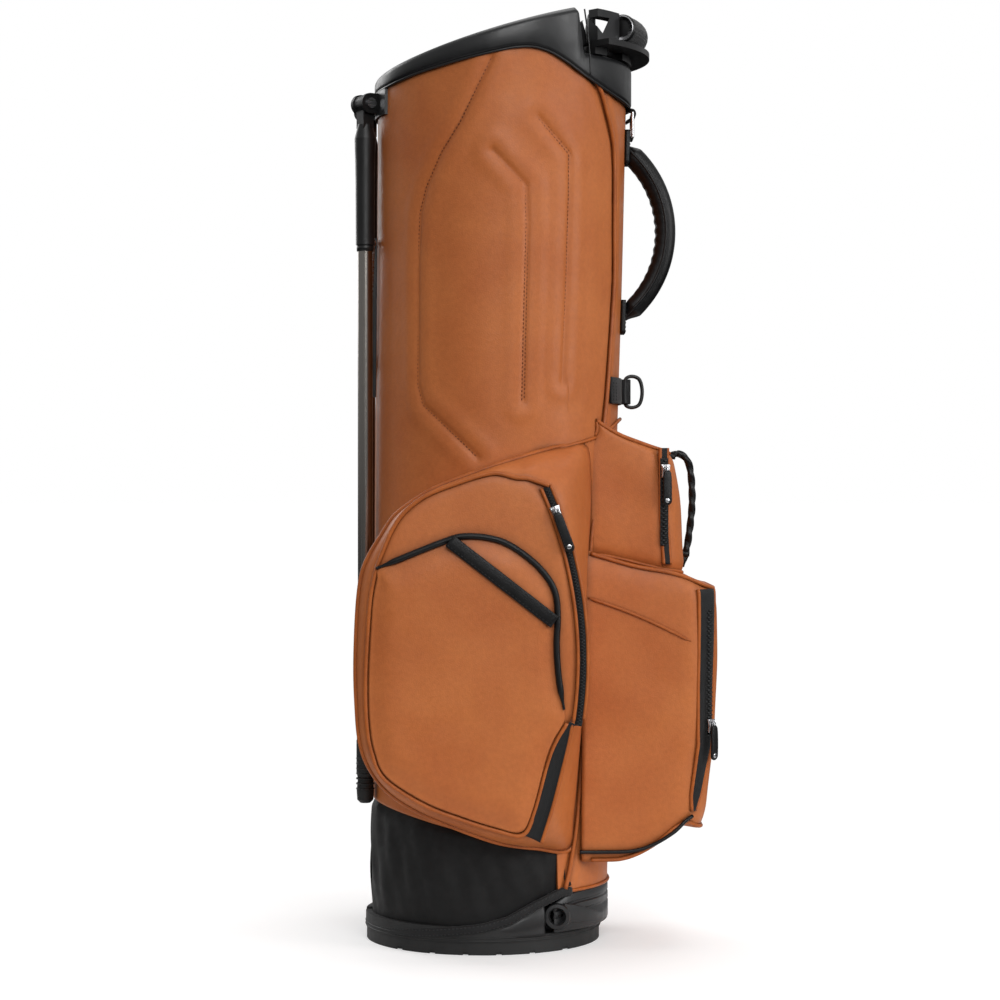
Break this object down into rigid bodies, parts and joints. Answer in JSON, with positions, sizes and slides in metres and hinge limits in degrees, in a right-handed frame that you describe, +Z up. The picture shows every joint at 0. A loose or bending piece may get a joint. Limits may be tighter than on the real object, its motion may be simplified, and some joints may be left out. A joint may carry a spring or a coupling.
{
  "type": "golf bag",
  "caption": "Round leather golf bag with a hinged foot, folding stand legs, divided mouth, side and front zip pockets and handles.",
  "frame": {"origin": "middle of the foot's sole on the ground", "axes": "+Z up along the bag, +X toward the handles and front pockets, -X toward the stand legs"},
  "size_m": [0.3588, 0.3542, 0.9108],
  "materials": {
    "leather": "soft tan grain",
    "moulded": "fine texture",
    "nylon": "woven nylon",
    "rubber": "matt",
    "metal": "satin",
    "alloy": "gloss black",
    "black_leather": "smooth"
  },
  "bodies": {
    "base": {"base_sole": "rubber", "base_foot": "moulded", "foot_lip": "moulded", "foot_lugs": "moulded", "hinge_pins": "metal", "skirt": "nylon", "skirt_hem": "nylon"},
    "bag": {"heel_bracket": "moulded", "bag_bottom": "moulded", "body_shell": "leather", "stays": "alloy", "top_cuff": "moulded", "divider_rails": "nylon", "divider_fins": "nylon", "divider_walls": "nylon", "lift_arms": "moulded", "lift_rail": "moulded", "lift_grip": "nylon", "lift_caps": "metal", "near_side_pocket": "leather", "far_side_pocket": "leather", "near_valuables_pocket": "leather", "far_valuables_pocket": "leather", "near_zip_track": "nylon", "far_zip_track": "nylon", "upper_front_pocket": "leather", "upper_zip_track": "nylon", "lower_front_pocket": "leather", "lower_near_track": "nylon", "lower_far_track": "nylon", "grab_handle": "black_leather", "grab_anchors": "nylon", "pocket_handle": "black_leather", "ring_strap": "nylon", "top_ring_strap": "nylon", "leg_yoke": "moulded", "leg_pins": "metal", "spine_rail": "moulded"},
    "near_leg": {"near_leg_housing": "moulded", "near_leg_tube": "alloy", "near_leg_foot": "rubber"},
    "far_leg": {"far_leg_housing": "moulded", "far_leg_tube": "alloy", "far_leg_foot": "rubber"},
    "near_link": {"near_link": "metal"},
    "far_link": {"far_link": "metal"},
    "slider": {"slider": "moulded", "push_rod": "metal"},
    "near_zip": {"near_zip_slider": "metal"},
    "near_tab": {"near_zip_pull": "black_leather"},
    "far_zip": {"far_zip_slider": "metal"},
    "far_tab": {"far_zip_pull": "black_leather"},
    "upper_zip": {"upper_zip_slider": "metal"},
    "upper_tab": {"upper_zip_pull": "black_leather"},
    "lower_near_zip": {"lower_near_slider": "metal"},
    "lower_near_tab": {"lower_near_pull": "black_leather"},
    "lower_far_zip": {"lower_far_slider": "metal"},
    "lower_far_tab": {"lower_far_pull": "black_leather"},
    "strap_ring": {"d_ring": "moulded"},
    "top_strap_ring": {"top_ring": "metal"}
  },
  "joints": [
    {"name": "bag_lean", "type": "hinge", "parent": "base", "child": "bag", "pos_m": [0.072, 0, 0.0344], "axis": [0, -1, 0], "range_deg": [0, 30], "stiffness_Nm_per_rad": 8, "springref_deg": -51.57, "deforming": ["skirt"]},
    {"name": "rod_rise", "type": "slide", "parent": "bag", "child": "slider", "axis": [0, 0, 1], "range_m": [0, 0.0912]},
    {"name": "near_leg_swing", "type": "hinge", "parent": "bag", "child": "near_leg", "pos_m": [-0.11618, -0.03, 0.826], "axis": [-0.5736, 0.8192, 0], "range_deg": [0, 46.55]},
    {"name": "far_leg_swing", "type": "hinge", "parent": "bag", "child": "far_leg", "pos_m": [-0.11618, 0.03, 0.826], "axis": [0.5736, 0.8192, 0], "range_deg": [0, 46.55]},
    {"name": "near_link_turn", "type": "hinge", "parent": "near_leg", "child": "near_link", "pos_m": [-0.10918, -0.019, 0.69], "axis": [0.6459, -0.7601, -0.0714], "range_deg": [0, 104.75]},
    {"name": "far_link_turn", "type": "hinge", "parent": "far_leg", "child": "far_link", "pos_m": [-0.10918, 0.019, 0.69], "axis": [-0.6459, -0.7601, 0.0714], "range_deg": [0, 104.75]},
    {"name": "near_zip_run", "type": "hinge", "parent": "bag", "child": "near_zip", "pos_m": [-0.29915, -0.16916, 0.286], "axis": [0, 1, 0], "range_deg": [0, 27]},
    {"name": "near_tab_lift", "type": "hinge", "parent": "near_zip", "child": "near_tab", "pos_m": [0.06766, -0.17606, 0.42474], "axis": [-0.9367, 0, -0.3502], "range_deg": [0, 100]},
    {"name": "far_zip_run", "type": "hinge", "parent": "bag", "child": "far_zip", "pos_m": [-0.29915, 0.16916, 0.286], "axis": [0, 1, 0], "range_deg": [0, 27]},
    {"name": "far_tab_lift", "type": "hinge", "parent": "far_zip", "child": "far_tab", "pos_m": [0.06766, 0.17606, 0.42474], "axis": [0.9367, 0, 0.3502], "range_deg": [0, 100]},
    {"name": "upper_zip_run", "type": "slide", "parent": "bag", "child": "upper_zip", "axis": [0, 0, 1], "range_m": [-0.042, 0]},
    {"name": "upper_tab_lift", "type": "hinge", "parent": "upper_zip", "child": "upper_tab", "pos_m": [0.17938, -0.08049, 0.4675], "axis": [-0.9272, -0.3746, 0], "range_deg": [0, 100]},
    {"name": "lower_near_run", "type": "slide", "parent": "bag", "child": "lower_near_zip", "axis": [0, 0, 1], "range_m": [0, 0.101]},
    {"name": "lower_near_lift", "type": "hinge", "parent": "lower_near_zip", "child": "lower_near_tab", "pos_m": [0.22273, -0.08055, 0.2205], "axis": [-0.7071, -0.7071, 0], "range_deg": [0, 100]},
    {"name": "lower_far_run", "type": "slide", "parent": "bag", "child": "lower_far_zip", "axis": [0, 0, 1], "range_m": [0, 0.101]},
    {"name": "lower_far_lift", "type": "hinge", "parent": "lower_far_zip", "child": "lower_far_tab", "pos_m": [0.22273, 0.08055, 0.2205], "axis": [0.7071, -0.7071, 0], "range_deg": [0, 100]},
    {"name": "strap_ring_turn", "type": "hinge", "parent": "bag", "child": "strap_ring", "pos_m": [0.14029, 0, 0.543], "axis": [0, 0, 1], "range_deg": [-75, 75]},
    {"name": "top_ring_swing", "type": "hinge", "parent": "bag", "child": "top_strap_ring", "pos_m": [0.14875, 0, 0.82], "axis": [0, -1, 0], "range_deg": [0, 120]}
  ],
  "couplings": [
    {"joint": "rod_rise", "follows": "bag_lean", "m_per_rad": 0.17395},
    {"joint": "near_leg_swing", "follows": "bag_lean", "ratio": 1.5512},
    {"joint": "near_link_turn", "follows": "bag_lean", "ratio": 3.4915},
    {"joint": "far_leg_swing", "follows": "bag_lean", "ratio": 1.5512},
    {"joint": "far_link_turn", "follows": "bag_lean", "ratio": 3.4915}
  ]
}
